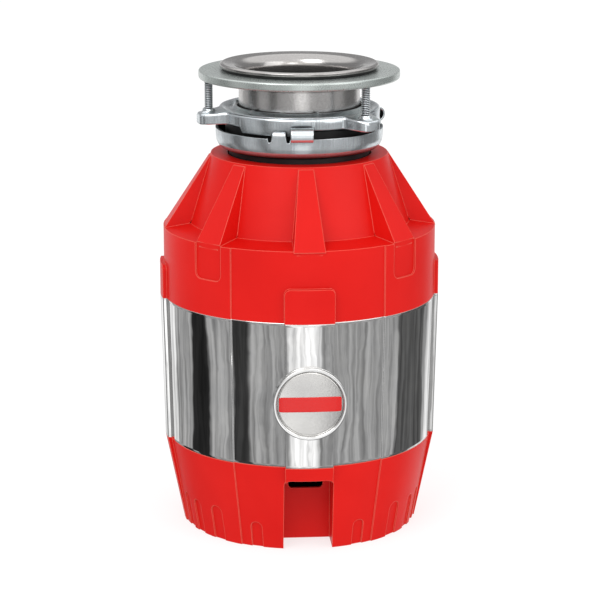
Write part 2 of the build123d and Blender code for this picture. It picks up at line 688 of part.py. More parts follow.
with BuildPart() as ground_screw:
    rod(Plane.XY.offset(cover_low), 2.05, 10, *ground_place)
    hexagon(Plane.XY.offset(cover_low - 3), 4.5, 3, *ground_place)
keep(ground_screw, "ground_screw")

with BuildPart() as cord_gland:
    hexagon(Plane.XY.offset(cover_low - 4), gland_bore + 6, 4, *gland_place)
    rod(Plane.XY.offset(cover_low), gland_bore + 2.5, boss_low - cover_low, *gland_place)
    hexagon(Plane.XY.offset(boss_low), gland_bore + 6, 4, *gland_place)
    rod(Plane.XY.offset(cover_low - 5), gland_bore, 20, *gland_place, mode=Mode.SUBTRACT)
keep(cord_gland, "cord_gland")

protector_top = boss_low + 22
spring_room = protector_top - 3
with BuildPart() as overload_protector:
    block(Plane.XY.offset(boss_low), 26, 20, protector_top - boss_low, *button_place, corner=2)
    rod(Plane.XY.offset(cover_low - 4), protector_neck, 7, *button_place)
    rod(Plane.XY.offset(boss_low + 1), 7.2, spring_room - boss_low - 1, *button_place,
        mode=Mode.SUBTRACT)
    rod(Plane.XY.offset(cover_low - 5), button_radius + running, 12, *button_place,
        mode=Mode.SUBTRACT)
keep(overload_protector, "overload_protector")

button_flange = boss_low + 1 + slip
with BuildPart() as reset_button:
    rod(Plane.XY.offset(cover_low - 5.5), button_radius, button_flange - cover_low + 6.5,
        *button_place)
    rod(Plane.XY.offset(button_flange), 6.6, 2, *button_place)
    fillet(reset_button.edges().filter_by(GeomType.CIRCLE).sort_by(Axis.Z)[0], 0.8)
keep(reset_button, "reset_button")

coil_low = button_flange + 2 + 0.5
with BuildPart() as reset_spring:
    with BuildLine() as coil:
        Helix(1.9, spring_room - coil_low - 0.6, 4.6, center=(*button_place, coil_low))
    with BuildSketch(Plane(origin=coil.line @ 0, z_dir=coil.line % 0)) as wire:
        Circle(0.4)
    sweep(wire.sketch, path=coil.line)
keep(reset_spring, "reset_spring")

# ---- rubber mount ----------------------------------------------------------------------------
cushion_low = neck_low
groove_low = bowl_low - 0.6
groove_top = bowl_low + 5.0
cushion_top = bowl_top + 7.0
guard_ledge = bowl_top + 1.3
with BuildPart() as cushion_mount:
    turn([(hopper_neck_outer, cushion_low), (cushion_radius, cushion_low),
          (cushion_radius, groove_low), (cushion_radius - 0.5, groove_low),
          (cushion_radius - 0.5, groove_top), (cushion_radius + 2.5, groove_top + 1.5),
          (cushion_radius + 2.5, cushion_top - 3), (cushion_radius, cushion_top),
          (neck_radius + 0.25, cushion_top), (neck_radius + 0.25, guard_ledge),
          (throat_radius - 3, guard_ledge), (throat_radius - 3, guard_ledge - 2.3),
          (hopper_neck_outer, hopper_neck_top)])
keep(cushion_mount, "cushion_mount")

guard_radius = neck_radius - neck_sheet - slip
guard_low = guard_ledge + 0.2
guard_slits = 8
with BuildPart() as splash_guard:
    tube(guard_radius - 2.5, guard_radius, guard_low, guard_low + 9.5)
    tube(11, guard_radius, guard_low, guard_low + 2.2)
    for index in range(guard_slits):
        level = level_plane(22.5 + index * 360 / guard_slits, guard_low - 1)
        block(level, 24, 1, 5, x=21, mode=Mode.SUBTRACT)
keep(splash_guard, "splash_guard")

# ---- sink flange, gasket and backup flange ------------------------------------------------------
neck_inner = neck_radius - neck_sheet
dish_edge = sink_rim_radius - 7.15
ring_wire = 1.5
snap_height = plate_low - ring_wire
with BuildPart() as sink_flange:
    turn([(neck_radius, neck_bottom), (neck_radius, backup_top - 1.2),
          (neck_radius + 0.85, backup_top + 0.1), (dish_edge, gasket_top),
          (sink_rim_radius, gasket_top), (sink_rim_radius, sink_top - 0.7),
          (sink_rim_radius - 1.2, sink_top), (dish_edge - 0.5, sink_top - 1),
          (neck_inner + 1.2, sink_top - 4.1), (neck_inner, sink_top - 6.9),
          (neck_inner, neck_bottom)])
    turn([(neck_radius - 0.6, snap_height - 1.6), (neck_radius + 1, snap_height - 1.6),
          (neck_radius + 1, snap_height + 1.6), (neck_radius - 0.6, snap_height + 1.6)],
         mode=Mode.SUBTRACT)
keep(sink_flange, "sink_flange")

with BuildPart() as sink_gasket:
    tube(dish_edge + 0.5, sink_rim_radius - 0.6, backup_top, gasket_top)
keep(sink_gasket, "sink_gasket")

with BuildPart() as backup_flange:
    tube(neck_radius + 1.2, backup_radius, backup_low, backup_top)
    fillet(backup_flange.edges().filter_by(GeomType.CIRCLE).sort_by(SortBy.RADIUS)[-2:], 1.6)
keep(backup_flange, "backup_flange")

with BuildPart() as snap_ring:
    with BuildSketch(radial_plane(8)) as wire:
        with Locations((neck_radius + ring_wire - 0.6 + seat, snap_height)):
            Circle(ring_wire)
    revolve(wire.sketch, axis=Axis.Z, revolution_arc=344)
keep(snap_ring, "snap_ring")

# ---- upper mounting ring --------------------------------------------------------------------------
skirt_outer = bowl_radius - 2.3
skirt_inner = skirt_outer - 1.8
tab_outer = skirt_inner + 0.1
tab_inner = tab_outer - 1.8
skirt_low = bowl_top + 5.7
lip_top = bowl_top + 3.2
tab_low = bowl_top + 0.6
ear_radius = 8.0
with BuildPart() as upper_mounting_ring:
    tube(neck_radius + 0.55, skirt_outer, plate_low, plate_top)
    tube(neck_radius + 2.3, neck_radius + 4.3, plate_top, plate_top + 3)
    tube(skirt_inner - 2, skirt_outer, plate_low, plate_top + 2)
    tube(skirt_inner, skirt_outer, skirt_low, plate_low)
    for index in range(screw_count):
        turned = index * 360 / screw_count
        ear = level_plane(first_screw + turned, skirt_low - 1)
        with BuildSketch(ear) as ear_outline:
            with Locations((screw_circle, 0)):
                Circle(ear_radius)
            with Locations((skirt_outer - 2, 0)):
                Rectangle(2, 2 * ear_radius)
            make_hull()
        extrude(ear_outline.sketch, amount=plate_top - skirt_low + 1)
        with BuildSketch(ear) as ear_hollow:
            with Locations((screw_circle, 0)):
                Circle(ear_radius - 1.8)
            with Locations((skirt_outer, 0)):
                Rectangle(0.2, 2 * ear_radius - 3.6)
            make_hull()
        extrude(ear_hollow.sketch, amount=plate_low - skirt_low + 1, mode=Mode.SUBTRACT)
        rod(level_plane(first_screw + turned, plate_top), 4.3, 2.5, x=screw_circle)
        rod(level_plane(first_screw + turned, plate_low - 1), screw_radius + 0.07, 8,
            x=screw_circle, mode=Mode.SUBTRACT)
        tube(tab_inner, tab_outer, tab_low, plate_low, first_hook - 32 + turned, 56)
        tube(tab_inner, skirt_outer, tab_low, lip_top, first_hook - 32 + turned, 46)
keep(upper_mounting_ring, "upper_mounting_ring")

screw_low = plate_low - 7.0
for number in range(1, screw_count + 1):
    azimuth = first_screw + (number - 1) * 360 / screw_count
    with BuildPart() as mounting_screw:
        rod(level_plane(azimuth, screw_low), screw_radius, backup_low - screw_low,
            x=screw_circle)
        rod(level_plane(azimuth, screw_low), 5.4, 3, x=screw_circle)
        block(level_plane(azimuth, screw_low - 1), 8, 1.3, 2.2, x=screw_circle,
              mode=Mode.SUBTRACT)
    keep(mounting_screw, f"mounting_screw_{number}")

# ---- lower mounting ring ---------------------------------------------------------------------------
bowl_inner = bowl_radius - bowl_sheet
hook_inner = bowl_inner + 0.05
hook_outer = bowl_radius - 0.05
hook_half = 4.8
hook_top = skirt_low - 0.4
sleeve_radius = 5.3
sleeve_bore = 3.75
sleeve_length = 15.8
sleeve_circle = bowl_radius + 3.5
sleeve_height = bowl_top + 3.7
with BuildPart() as lower_mounting_ring:
    turn([(cushion_radius + 0.5, bowl_low), (bowl_radius - 7, bowl_low),
          (bowl_radius - 2.5, bowl_low + 2), (bowl_radius, bowl_low + 6), (bowl_radius, bowl_top),
          (bowl_inner, bowl_top), (bowl_inner, bowl_low + 7), (bowl_radius - 4.3, bowl_low + 3.5),
          (bowl_radius - 8, bowl_low + 2), (cushion_radius + 0.5, bowl_low + 2)])
    for index in range(screw_count):
        turned = index * 360 / screw_count
        turn([(hook_inner, bowl_top - 1), (hook_outer, bowl_top - 1), (hook_outer, hook_top),
              (tab_outer + 0.4, hook_top), (tab_outer + 0.4, lip_top + 0.1),
              (hook_inner, lip_top + 0.1)], first_hook - hook_half + turned, 2 * hook_half)
keep(lower_mounting_ring, "lower_mounting_ring")

with BuildPart() as wrench_sleeves:
    for index in range(screw_count):
        sleeve = first_sleeve + index * 360 / screw_count
        a = radians(sleeve)
        middle = Vector(sleeve_circle * sin(a), -sleeve_circle * cos(a), sleeve_height)
        along = Vector(cos(a), sin(a), 0)
        end = Plane(origin=middle - along * (sleeve_length / 2), x_dir=(0, 0, 1), z_dir=along)
        rod(end, sleeve_radius, sleeve_length)
        tube(bowl_radius - 0.5, sleeve_circle, bowl_top - 6, bowl_top - 0.7, sleeve - 6, 12)
        rod(end.offset(-10), sleeve_bore, sleeve_length + 20, mode=Mode.SUBTRACT)
    tube(0, bowl_radius + running, bowl_low, bowl_top + running, mode=Mode.SUBTRACT)
keep(wrench_sleeves, "wrench_sleeves")
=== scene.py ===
"""Kitchen garbage disposal: surfaces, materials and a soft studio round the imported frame."""
import json
import math
import bpy
import numpy as np
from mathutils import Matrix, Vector


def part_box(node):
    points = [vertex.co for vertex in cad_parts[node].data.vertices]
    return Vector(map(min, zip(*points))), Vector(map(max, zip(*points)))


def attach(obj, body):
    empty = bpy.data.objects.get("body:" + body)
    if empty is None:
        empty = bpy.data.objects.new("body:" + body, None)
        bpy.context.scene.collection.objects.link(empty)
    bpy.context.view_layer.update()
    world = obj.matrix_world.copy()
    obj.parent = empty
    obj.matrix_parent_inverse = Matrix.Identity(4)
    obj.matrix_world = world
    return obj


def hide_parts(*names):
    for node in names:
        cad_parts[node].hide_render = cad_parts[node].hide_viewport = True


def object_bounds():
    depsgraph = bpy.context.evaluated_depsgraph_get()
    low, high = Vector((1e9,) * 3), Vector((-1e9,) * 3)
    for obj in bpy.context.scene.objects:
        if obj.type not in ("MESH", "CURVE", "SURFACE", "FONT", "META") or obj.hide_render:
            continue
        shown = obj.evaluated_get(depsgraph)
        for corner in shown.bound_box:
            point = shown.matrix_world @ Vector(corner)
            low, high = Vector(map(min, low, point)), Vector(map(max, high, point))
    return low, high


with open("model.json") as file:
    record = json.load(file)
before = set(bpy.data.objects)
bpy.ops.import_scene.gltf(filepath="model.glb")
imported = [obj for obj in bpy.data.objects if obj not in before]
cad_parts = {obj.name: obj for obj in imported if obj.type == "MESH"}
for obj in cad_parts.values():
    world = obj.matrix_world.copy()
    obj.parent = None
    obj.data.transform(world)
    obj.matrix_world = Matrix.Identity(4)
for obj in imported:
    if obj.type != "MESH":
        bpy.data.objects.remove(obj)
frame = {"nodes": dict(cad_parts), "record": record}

MM = 0.001
cad_low, cad_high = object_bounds()


# ---- sizes read from the frame, millimetres --------------------------------------------
def low_high(node, axis=2):
    """Lowest and highest coordinate of a CAD node along one axis, in millimetres."""
    low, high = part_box(node)
    return low[axis] / MM, high[axis] / MM


def widest(node):
    """Largest radius of a round CAD node, in millimetres."""
    low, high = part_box(node)
    return max(high.x, high.y, -low.x, -low.y) / MM


band_low, band_top = low_high("chrome_band")
lug_radius = widest("chrome_band")
lug_rise = 3.9
side_step = 1.0
draft = 2.4                      # the band is this much narrower at its foot
panel_edge = 33.3                # degrees from the front to a side panel
lug_half = 10.0                  # degrees
band_sheet = 1.2

rim_top = low_high("sink_flange")[1]
neck_bottom = low_high("sink_flange")[0]
rim_radius = widest("sink_flange")
gasket_low, gasket_top = low_high("sink_gasket")
backup_low, backup_top = low_high("backup_flange")
backup_radius = widest("backup_flange")
neck_radius = 43.65
neck_sheet = 1.45
bowl_low = low_high("lower_mounting_ring")[0]
bowl_radius = 60.5
bowl_top = bowl_low + 15.0
cushion_low, cushion_top = low_high("cushion_mount")
guard_low = low_high("splash_guard")[0]
screw_circle = 66.7
first_screw = 40.0
first_hook = -18.0
first_sleeve = -2.5
turns = (0.0, 120.0, 240.0)


# ---- mesh making -----------------------------------------------------------------------
def smooth(edge_a, edge_b, value):
    """Runs from 0 at edge_a to 1 at edge_b as 3t squared minus 2t cubed."""
    t = np.clip((value - edge_a) / (edge_b - edge_a), 0, 1)
    return t * t * (3 - 2 * t)


def plateau(value, centre, half, soft):
    """1 within half of the centre, 0 beyond half plus soft, with azimuths wrapped at 360."""
    away = np.abs((value - centre + 180) % 360 - 180)
    return 1 - smooth(half, half + soft, away)


def rounded(points, cut, steps=5, closed=True):
    """Outline with each corner replaced by a parabola arc that starts cut before the corner.

    A support point is kept just outside each arc, so flats shade flat.
    """
    p = np.array(points, float)
    before = np.roll(p, 1, 0) - p
    after = np.roll(p, -1, 0) - p
    len_b = np.linalg.norm(before, axis=1, keepdims=True)
    len_a = np.linalg.norm(after, axis=1, keepdims=True)
    size = np.minimum(np.broadcast_to(np.reshape(cut, (-1, 1)), len_b.shape),
                      0.3 * np.minimum(len_a, len_b))
    start = p + before / len_b * size
    end = p + after / len_a * size
    t = np.linspace(0, 1, steps)[None, :, None]
    arc = ((1 - t) ** 2 * start[:, None] + 2 * t * (1 - t) * p[:, None] + t ** 2 * end[:, None])
    lead = p + before / len_b * size * 1.5
    trail = p + after / len_a * size * 1.5
    rows = np.concatenate([lead[:, None], arc, trail[:, None]], axis=1)
    if not closed:
        rows = rows[1:-1].reshape(-1, 2)
        return np.concatenate([p[:1], rows, p[-1:]])
    return rows.reshape(-1, 2)


def azimuths(edges=(), spacing=2.0, soft=0.6, fine=9):
    """Azimuths round the whole circle, with extra ones packed about each edge."""
    even = np.arange(0, 360, spacing)
    packed = [(edge + np.linspace(-soft, soft, fine)) % 360 for edge in edges]
    return np.unique(np.round(np.concatenate([even, *packed]), 4))


def polar(radius, azimuth, height):
    """Points at a radius, azimuth in degrees from the front, and height, in metres."""
    a = np.radians(azimuth)
    radius, a, height = np.broadcast_arrays(radius, a, height)
    return np.stack([radius * np.sin(a), -radius * np.cos(a), height], axis=-1) * MM


def quads(columns, rows, wrap_columns=True, wrap_rows=True):
    """Quad indices of a grid of points, wrapped where it closes on itself."""
    i = np.arange(columns if wrap_columns else columns - 1)[:, None]
    j = np.arange(rows if wrap_rows else rows - 1)[None, :]
    a = i * rows + j
    b = ((i + 1) % columns) * rows + j
    c = ((i + 1) % columns) * rows + (j + 1) % rows
    d = i * rows + (j + 1) % rows
    return np.stack(np.broadcast_arrays(a, b, c, d), axis=-1).reshape(-1, 4)


class Part:
    """Collects closed grids, and turns them into one object."""

    def __init__(self):
        self.points = []
        self.faces = []
        self.count = 0

    def add(self, points, faces):
        self.faces += [tuple(int(v) + self.count for v in face) for face in faces]
        self.points.append(points.reshape(-1, 3))
        self.count += points.reshape(-1, 3).shape[0]

    def ring(self, grid):
        """Grid of azimuth columns by profile rows, closed both ways."""
        self.add(grid, quads(grid.shape[0], grid.shape[1]))

    def arc(self, grid):
        """Grid closed along its rows only, with its first and last columns capped."""
        columns, rows = grid.shape[:2]
        faces = [tuple(f) for f in quads(columns, rows, wrap_columns=False)]
        faces.append(tuple(range(rows)))
        faces.append(tuple(reversed(range((columns - 1) * rows, columns * rows))))
        self.add(grid, faces)

    def spindle(self, grid, bottom, top):
        """Grid closed round its columns, with a pole point at each end of the rows."""
        columns, rows = grid.shape[:2]
        faces = [tuple(f) for f in quads(columns, rows, wrap_rows=False)]
        turn = np.arange(columns)
        after = (turn + 1) % columns
        base = columns * rows
        faces += list(zip(after * rows, turn * rows, np.full(columns, base)))
        faces += list(zip(turn * rows + rows - 1, after * rows + rows - 1,
                          np.full(columns, base + 1)))
        self.add(np.concatenate([grid.reshape(-1, 3), [bottom], [top]]), faces)

    def finish(self, name, body, slot, material, replaced):
        """Makes the object, shades it, and rides it on its body."""
        mesh = bpy.data.meshes.new(name)
        mesh.from_pydata(np.concatenate(self.points).tolist(), [], self.faces)
        mesh.update()
        mesh.polygons.foreach_set("use_smooth", np.full(len(mesh.polygons), True))
        mesh.materials.append(material)
        piece = bpy.data.objects.new(name, mesh)
        bpy.context.scene.collection.objects.link(piece)
        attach(piece, body)
        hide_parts(*replaced)
        return piece


def lathe(outline, around):
    """Grid of a closed (radius, height) outline carried round the axis."""
    outline = np.asarray(outline)
    return polar(outline[None, :, 0], around[:, None], outline[None, :, 1])


def placed(points, origin, x_axis, y_axis, z_axis):
    """Points in a turned frame: x times one axis, plus y and z times the others."""
    axes = np.array([x_axis, y_axis, z_axis], float)
    return points @ axes + np.array(origin, float) * MM


# ---- material making -------------------------------------------------------------------
def new_node(tree, kind, **settings):
    """Adds a shader node; a setting named like a socket fills it, others are properties."""
    made = tree.nodes.new(kind)
    for key, value in settings.items():
        if key in made.inputs:
            made.inputs[key].default_value = value
        else:
            setattr(made, key, value)
    return made


class Finish:
    """A procedural material under construction."""

    def __init__(self, name, **sockets):
        self.material = bpy.data.materials.new(name)
        self.material.use_nodes = True
        self.tree = self.material.node_tree
        self.shader = self.tree.nodes["Principled BSDF"]
        self.coords = self.node("ShaderNodeTexCoord").outputs["Object"]
        for socket, value in sockets.items():
            self.shader.inputs[socket.replace("_", " ")].default_value = value

    def node(self, kind, **settings):
        return new_node(self.tree, kind, **settings)

    def link(self, source, target):
        self.tree.links.new(source, target)

    def stretched(self, scale):
        """Object coordinates multiplied by a scale along each axis."""
        mapping = self.node("ShaderNodeMapping")
        mapping.inputs["Scale"].default_value = scale
        self.link(self.coords, mapping.inputs["Vector"])
        return mapping.outputs["Vector"]

    def around(self, per_radian, per_radius, per_height):
        """Coordinates that follow the axis: angle, radius and height, each scaled."""
        parts = self.node("ShaderNodeSeparateXYZ")
        self.link(self.coords, parts.inputs[0])
        angle = self.math("ARCTAN2", parts.outputs["X"], parts.outputs["Y"])
        square_x = self.math("MULTIPLY", parts.outputs["X"], parts.outputs["X"])
        square_y = self.math("MULTIPLY", parts.outputs["Y"], parts.outputs["Y"])
        radius = self.math("SQRT", self.math("ADD", square_x, square_y))
        joined = self.node("ShaderNodeCombineXYZ")
        self.link(self.math("MULTIPLY", angle, per_radian), joined.inputs["X"])
        self.link(self.math("MULTIPLY", radius, per_radius), joined.inputs["Y"])
        self.link(self.math("MULTIPLY", parts.outputs["Z"], per_height), joined.inputs["Z"])
        return joined.outputs["Vector"]

    def math(self, operation, first, second=None):
        made = self.node("ShaderNodeMath", operation=operation)
        for place, value in enumerate((first, second)):
            if value is None:
                continue
            if isinstance(value, (int, float)):
                made.inputs[place].default_value = value
            else:
                self.link(value, made.inputs[place])
        return made.outputs[0]

    def noise(self, vector, scale, detail=3.0, roughness=0.55):
        made = self.node("ShaderNodeTexNoise", Scale=scale, Detail=detail, Roughness=roughness)
        self.link(vector, made.inputs["Vector"])
        return made.outputs["Fac"]

    def ramp(self, value, stops):
        made = self.node("ShaderNodeValToRGB")
        elements = made.color_ramp.elements
        while len(elements) < len(stops):
            elements.new(0.5)
        for element, (place, colour) in zip(elements, stops):
            element.position = place
            element.color = (*colour, 1) if isinstance(colour, tuple) else (colour,) * 3 + (1,)
        self.link(value, made.inputs["Fac"])
        return made.outputs["Color"]

    def colour(self, value, stops):
        self.link(self.ramp(value, stops), self.shader.inputs["Base Color"])

    def rough(self, value, low, high):
        made = self.node("ShaderNodeMapRange")
        made.inputs["To Min"].default_value = low
        made.inputs["To Max"].default_value = high
        self.link(value, made.inputs["Value"])
        self.link(made.outputs["Result"], self.shader.inputs["Roughness"])

    def shaded(self, reach, floor):
        """Painted shade: darkens the base colour in hollows narrower than the reach."""
        hollow = self.node("ShaderNodeAmbientOcclusion", samples=6, Distance=reach)
        depth = self.node("ShaderNodeMapRange", interpolation_type="SMOOTHSTEP")
        depth.inputs["From Min"].default_value = 0.25
        depth.inputs["From Max"].default_value = 0.95
        depth.inputs["To Min"].default_value = floor
        self.link(hollow.outputs["AO"], depth.inputs["Value"])
        mixed = self.node("ShaderNodeMix", data_type="RGBA", blend_type="MULTIPLY")
        mixed.inputs["Factor"].default_value = 1.0
        base = self.shader.inputs["Base Color"]
        self.link(base.links[0].from_socket, mixed.inputs["A"])
        self.link(depth.outputs["Result"], mixed.inputs["B"])
        self.link(mixed.outputs["Result"], base)

    def relief(self, value, strength, depth, edge=0.0, edge_highlight=None):
        """Bump from a pattern, over softened edges where an edge radius is given.

        A painted highlight colour is mixed in where the softened normal leaves the true one.
        """
        bump = self.node("ShaderNodeBump", Strength=strength, Distance=depth)
        self.link(value, bump.inputs["Height"])
        self.link(bump.outputs["Normal"], self.shader.inputs["Normal"])
        if edge == 0:
            return
        bevel = self.node("ShaderNodeBevel", samples=8, Radius=edge)
        self.link(bevel.outputs["Normal"], bump.inputs["Normal"])
        if edge_highlight is None:
            return
        # painted highlight: a lighter colour along the softened edges, convex and concave alike
        true = self.node("ShaderNodeNewGeometry").outputs["Normal"]
        dot = self.node("ShaderNodeVectorMath", operation="DOT_PRODUCT")
        self.link(bevel.outputs["Normal"], dot.inputs[0])
        self.link(true, dot.inputs[1])
        mask = self.node("ShaderNodeMapRange")
        mask.inputs["From Min"].default_value = 0.995
        mask.inputs["From Max"].default_value = 0.86
        self.link(dot.outputs["Value"], mask.inputs["Value"])
        mixed = self.node("ShaderNodeMix", data_type="RGBA", blend_type="MIX")
        self.link(mask.outputs["Result"], mixed.inputs["Factor"])
        base = self.shader.inputs["Base Color"]
        self.link(base.links[0].from_socket, mixed.inputs["A"])
        mixed.inputs["B"].default_value = (*edge_highlight, 1)
        self.link(mixed.outputs["Result"], base)


def grained_plastic(name, dark, light, rough, grain=900.0, edge=0.0006, strength=0.12,
                    shine=0.5, edge_highlight=None):
    """Moulded plastic: fine spark grain, faint cloudiness, softened edges."""
    made = Finish(name, Specular_IOR_Level=shine)
    cloud = made.noise(made.coords, 14.0, 4.0)
    made.colour(cloud, ((0.3, dark), (0.7, light)))
    fine = made.noise(made.coords, grain, 2.0)
    made.rough(fine, rough - 0.05, rough + 0.06)
    # softened edges, with a painted highlight colour on them where one is given
    made.relief(fine, strength, 0.0004, edge, edge_highlight)
    return made.material


def mirror_chrome():
    """Bright chrome with a very slight waviness and faint rub marks."""
    made = Finish("bright_chrome", Metallic=1.0)
    haze = made.noise(made.coords, 60.0, 4.0)
    made.colour(haze, ((0.35, (0.80, 0.80, 0.80)), (0.7, (0.88, 0.875, 0.865))))
    made.rough(haze, 0.006, 0.03)
    broad = made.noise(made.stretched((26.0, 26.0, 9.0)), 1.0, 1.0, 0.4)
    small = made.noise(made.stretched((120.0, 120.0, 55.0)), 1.0, 1.0, 0.4)
    wave = made.math("ADD", broad, made.math("MULTIPLY", small, 0.10))
    made.relief(wave, 1.0, 0.0006)
    return made.material


def brushed_steel(name, dark, light, rough, around=(30.0, 9000.0, 9000.0), depth=0.00005,
                  strength=0.25, edge=0.0, metallic=1.0, clouds=0.3, reach=0.006,
                  floor=0.12, shade_above=None):
    """Steel brushed round the axis: fine streaks along the angle, with broad dull clouds."""
    made = Finish(name, Metallic=metallic, Anisotropic=0.4)
    streak = made.noise(made.around(*around), 1.0, 3.0, 0.6)
    cloud = made.noise(made.coords, 45.0, 5.0)
    mixed = made.math("ADD", made.math("MULTIPLY", streak, 1.0 - clouds),
                      made.math("MULTIPLY", cloud, clouds))
    # painted shade: above the given height the colour is darker and the roughness lower
    if shade_above is not None:
        parts = made.node("ShaderNodeSeparateXYZ")
        made.link(made.coords, parts.inputs[0])
        painted_shade = made.math("GREATER_THAN", parts.outputs["Z"], shade_above)
        mixed = made.math("SUBTRACT", mixed, made.math("MULTIPLY", painted_shade, 0.22))
    made.colour(mixed, ((0.32, dark), (0.66, light)))
    made.rough(mixed, rough - 0.08, rough + 0.14)
    made.relief(streak, strength, depth, edge)
    # painted shade in hollows within the reach
    made.shaded(reach, floor)
    return made.material


def cast_metal(name, dark, light, rough, metallic, grain=700.0, edge=0.0005, pitted=0.15):
    """Cast or painted metal: fine pits and soft clouds of tone."""
    made = Finish(name, Metallic=metallic)
    cloud = made.noise(made.coords, 38.0, 5.0)
    made.colour(cloud, ((0.3, dark), (0.7, light)))
    pits = made.noise(made.coords, grain, 3.0)
    made.rough(pits, rough - 0.07, rough + 0.1)
    made.relief(pits, pitted, 0.0003, edge)
    return made.material


def dull_rubber():
    """Black moulded rubber with a chalky bloom."""
    made = Finish("black_rubber", Specular_IOR_Level=0.4)
    bloom = made.noise(made.coords, 55.0, 6.0, 0.65)
    made.colour(bloom, ((0.35, (0.004, 0.004, 0.0045)), (0.75, (0.018, 0.0175, 0.0175))))
    fine = made.noise(made.coords, 1200.0, 2.0)
    made.rough(bloom, 0.42, 0.62)
    made.relief(fine, 0.2, 0.0003, 0.0004)
    return made.material


def open_foam():
    """Open cell foam."""
    made = Finish("open_foam", Specular_IOR_Level=0.2)
    cells = made.node("ShaderNodeTexVoronoi", Scale=500.0)
    made.link(made.coords, cells.inputs["Vector"])
    away = cells.outputs["Distance"]
    made.colour(away, ((0.1, (0.015, 0.015, 0.016)), (0.8, (0.07, 0.07, 0.07))))
    made.rough(away, 0.85, 0.98)
    made.relief(away, 0.6, 0.001)
    return made.material


def threaded_steel():
    """Plated screw steel, with painted shade where the groove attribute says that a thread is cut.
    """
    made = Finish("zinc_screws", Metallic=0.8)
    cloud = made.noise(made.coords, 90.0, 4.0)
    groove = made.node("ShaderNodeAttribute", attribute_name="groove").outputs["Fac"]
    tone = made.math("SUBTRACT", made.math("MULTIPLY", cloud, 0.4), groove)
    made.colour(made.math("ADD", tone, 0.75),
                ((0.15, (0.05, 0.055, 0.06)), (0.9, (0.80, 0.84, 0.87))))
    made.rough(cloud, 0.14, 0.3)
    return made.material


# the red shells carry a painted highlight colour along their edges
red = grained_plastic("red_plastic", (0.59, 0.005, 0.003), (0.66, 0.008, 0.005), 0.36, edge=0.0008,
                      shine=0.16, edge_highlight=(0.82, 0.14, 0.10))
finishes = {
    "red_plastic": red,
    "bright_chrome": mirror_chrome(),
    "badge_enamel": cast_metal("badge_silver", (0.62, 0.61, 0.60), (0.74, 0.73, 0.71), 0.17, 0.9),
    "badge_red": grained_plastic("badge_red", (0.55, 0.008, 0.008), (0.62, 0.012, 0.010), 0.22,
                                 edge=0.0002, strength=0.02),
    # stainless: painted shade on the dish, above 0.323 m
    "stainless": brushed_steel("stainless", (0.46, 0.445, 0.435), (0.95, 0.93, 0.92), 0.20,
                               metallic=0.94, clouds=0.2, shade_above=0.323),
    "black_rubber": dull_rubber(),
    "grey_cast": cast_metal("grey_cast", (0.50, 0.55, 0.53), (0.60, 0.64, 0.62), 0.27, 0.75, 900.0,
                            0.0006, 0.04),
    # zinc: painted shade in hollows within 16 mm, down to 0.02 of the colour
    "zinc_steel": brushed_steel("zinc_steel", (0.60, 0.655, 0.69), (0.90, 0.95, 0.98), 0.16,
                                (200.0, 60.0, 60.0), 0.00005, 0.2, 0.0004, metallic=0.88,
                                reach=0.016, floor=0.02),
    "zinc_screws": threaded_steel(),
    "brass": brushed_steel("copper_segments", (0.55, 0.26, 0.12), (0.78, 0.42, 0.22), 0.35),
    "green_screw": cast_metal("green_screw", (0.02, 0.22, 0.06), (0.04, 0.34, 0.10), 0.4, 0.6),
    "black_nylon": grained_plastic("black_nylon", (0.012, 0.012, 0.013), (0.028, 0.028, 0.03),
                                   0.45),
    "reset_red": grained_plastic("reset_red", (0.5, 0.01, 0.008), (0.6, 0.015, 0.01), 0.3),
    "cast_aluminium": cast_metal("cast_aluminium", (0.42, 0.43, 0.44), (0.62, 0.63, 0.64), 0.45,
                                 1.0, 420.0),
    "foam": open_foam(),
    "motor_steel": cast_metal("motor_steel", (0.24, 0.25, 0.27), (0.42, 0.43, 0.45), 0.35, 1.0),
    "ferrite": cast_metal("ferrite", (0.03, 0.03, 0.033), (0.06, 0.06, 0.063), 0.6, 0.0),
    "copper": brushed_steel("copper_wire", (0.42, 0.14, 0.05), (0.72, 0.30, 0.13), 0.35,
                            (6.0, 2600.0, 2600.0), 0.0004, 0.8),
    "carbon": cast_metal("carbon", (0.02, 0.02, 0.02), (0.05, 0.05, 0.05), 0.55, 0.2),
    "spring_steel": cast_metal("spring_steel", (0.4, 0.4, 0.41), (0.6, 0.6, 0.61), 0.3, 1.0),
}

slot_of = {part["node"]: part["material_slot"] for part in frame["record"]["subparts"]}
for name, node in frame["nodes"].items():
    node.data.materials.clear()
    node.data.materials.append(finishes[slot_of[name]])


def make(part, name, nodes, body="housing"):
    """Finishes a piece in the slot of the first node that it replaces."""
    slot = slot_of[nodes[0]]
    return part.finish(name, body, slot, finishes[slot], nodes)


# ---- bright band -----------------------------------------------------------------------
def stepped_radius(azimuth, height, lugs=(0, 90, 180, 270)):
    """Band radius: a draft line, plus a step on the side panels, or a lug's rise over it."""
    up = (height - band_low) / (band_top - band_low)
    plain = lug_radius - lug_rise - draft * (1 - up)
    raised = np.zeros_like(azimuth)
    for side in (90, 270):
        raised = np.maximum(raised, side_step * plateau(azimuth, side, 90 - panel_edge - 0.2, 0.4))
    for lug in lugs:
        raised = np.maximum(raised, lug_rise * plateau(azimuth, lug, lug_half - 0.25, 0.45))
    return plain + raised


step_edges = [side + s * (90 - panel_edge) for side in (90, 270) for s in (-1, 1)]
lug_edges = [lug + s * lug_half for lug in (0, 90, 180, 270) for s in (-1, 1)]


